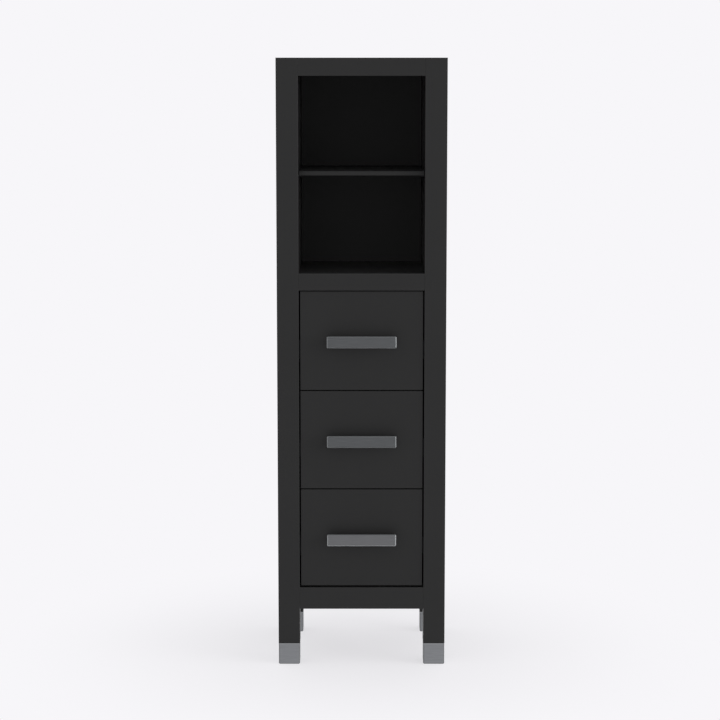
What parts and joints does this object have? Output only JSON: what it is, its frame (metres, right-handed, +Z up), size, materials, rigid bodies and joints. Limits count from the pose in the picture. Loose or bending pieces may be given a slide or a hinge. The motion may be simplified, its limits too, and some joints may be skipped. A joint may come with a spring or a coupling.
{
  "type": "tall cabinet",
  "caption": "Slim tall cabinet on metal-capped legs, with an open shelved upper part over inset drawers with bar pulls.",
  "frame": {"origin": "on the floor, in the middle of the whole object's outline, pulls included", "axes": "+X to the right seen from the front, +Z up, the front looks along -Y"},
  "size_m": [0.4, 0.371, 1.45],
  "materials": {
    "black_paint": "satin black paint on board and solid wood",
    "brushed_steel_feet": "brushed",
    "brushed_nickel": "brushed nickel",
    "zinc_steel": "zinc plated",
    "black_zinc_steel": "black passivated zinc plate",
    "matt_black_board": "matt black paint, sprayed thin, on the inner boards and the back",
    "birch_ply": "clear lacquered birch plywood"
  },
  "bodies": {
    "cabinet": {"front_left_post": "black_paint", "front_right_post": "black_paint", "back_left_post": "black_paint", "back_right_post": "black_paint", "front_left_foot": "brushed_steel_feet", "front_right_foot": "brushed_steel_feet", "back_left_foot": "brushed_steel_feet", "back_right_foot": "brushed_steel_feet", "foot_screws": "zinc_steel", "top_rail": "black_paint", "middle_rail": "black_paint", "bottom_rail": "black_paint", "wall_rail": "black_paint", "rear_bottom_rail": "black_paint", "left_side_top_rail": "black_paint", "left_side_bottom_rail": "black_paint", "right_side_top_rail": "black_paint", "right_side_bottom_rail": "black_paint", "left_side_panel": "black_paint", "right_side_panel": "black_paint", "left_liner": "matt_black_board", "right_liner": "matt_black_board", "back_panel": "matt_black_board", "top_board": "black_paint", "divider": "matt_black_board", "bottom_board": "matt_black_board", "shelf": "black_paint", "shelf_pins": "black_zinc_steel", "left_outer_runners": "black_zinc_steel", "right_outer_runners": "black_zinc_steel"},
    "top_drawer": {"top_drawer_front": "black_paint", "top_drawer_left_side": "birch_ply", "top_drawer_right_side": "birch_ply", "top_drawer_box_front": "birch_ply", "top_drawer_box_back": "birch_ply", "top_drawer_base": "birch_ply", "top_drawer_pull": "brushed_nickel", "top_drawer_screws": "zinc_steel", "top_drawer_inner_runners": "black_zinc_steel"},
    "top_runner": {"top_drawer_middle_runners": "black_zinc_steel"},
    "middle_drawer": {"middle_drawer_front": "black_paint", "middle_drawer_left_side": "birch_ply", "middle_drawer_right_side": "birch_ply", "middle_drawer_box_front": "birch_ply", "middle_drawer_box_back": "birch_ply", "middle_drawer_base": "birch_ply", "middle_drawer_pull": "brushed_nickel", "middle_drawer_screws": "zinc_steel", "middle_drawer_inner_runners": "black_zinc_steel"},
    "middle_runner": {"middle_drawer_middle_runners": "black_zinc_steel"},
    "bottom_drawer": {"bottom_drawer_front": "black_paint", "bottom_drawer_left_side": "birch_ply", "bottom_drawer_right_side": "birch_ply", "bottom_drawer_box_front": "birch_ply", "bottom_drawer_box_back": "birch_ply", "bottom_drawer_base": "birch_ply", "bottom_drawer_pull": "brushed_nickel", "bottom_drawer_screws": "zinc_steel", "bottom_drawer_inner_runners": "black_zinc_steel"},
    "bottom_runner": {"bottom_drawer_middle_runners": "black_zinc_steel"}
  },
  "joints": [
    {"name": "top_drawer_slide", "type": "slide", "parent": "cabinet", "child": "top_drawer", "axis": [0, -1, 0], "range_m": [0, 0.3]},
    {"name": "top_runner_slide", "type": "slide", "parent": "cabinet", "child": "top_runner", "axis": [0, -1, 0], "range_m": [0, 0.15]},
    {"name": "middle_drawer_slide", "type": "slide", "parent": "cabinet", "child": "middle_drawer", "axis": [0, -1, 0], "range_m": [0, 0.3]},
    {"name": "middle_runner_slide", "type": "slide", "parent": "cabinet", "child": "middle_runner", "axis": [0, -1, 0], "range_m": [0, 0.15]},
    {"name": "bottom_drawer_slide", "type": "slide", "parent": "cabinet", "child": "bottom_drawer", "axis": [0, -1, 0], "range_m": [0, 0.3]},
    {"name": "bottom_runner_slide", "type": "slide", "parent": "cabinet", "child": "bottom_runner", "axis": [0, -1, 0], "range_m": [0, 0.15]}
  ],
  "couplings": [
    {"joint": "top_runner_slide", "follows": "top_drawer_slide", "ratio": 0.5},
    {"joint": "middle_runner_slide", "follows": "middle_drawer_slide", "ratio": 0.5},
    {"joint": "bottom_runner_slide", "follows": "bottom_drawer_slide", "ratio": 0.5}
  ]
}
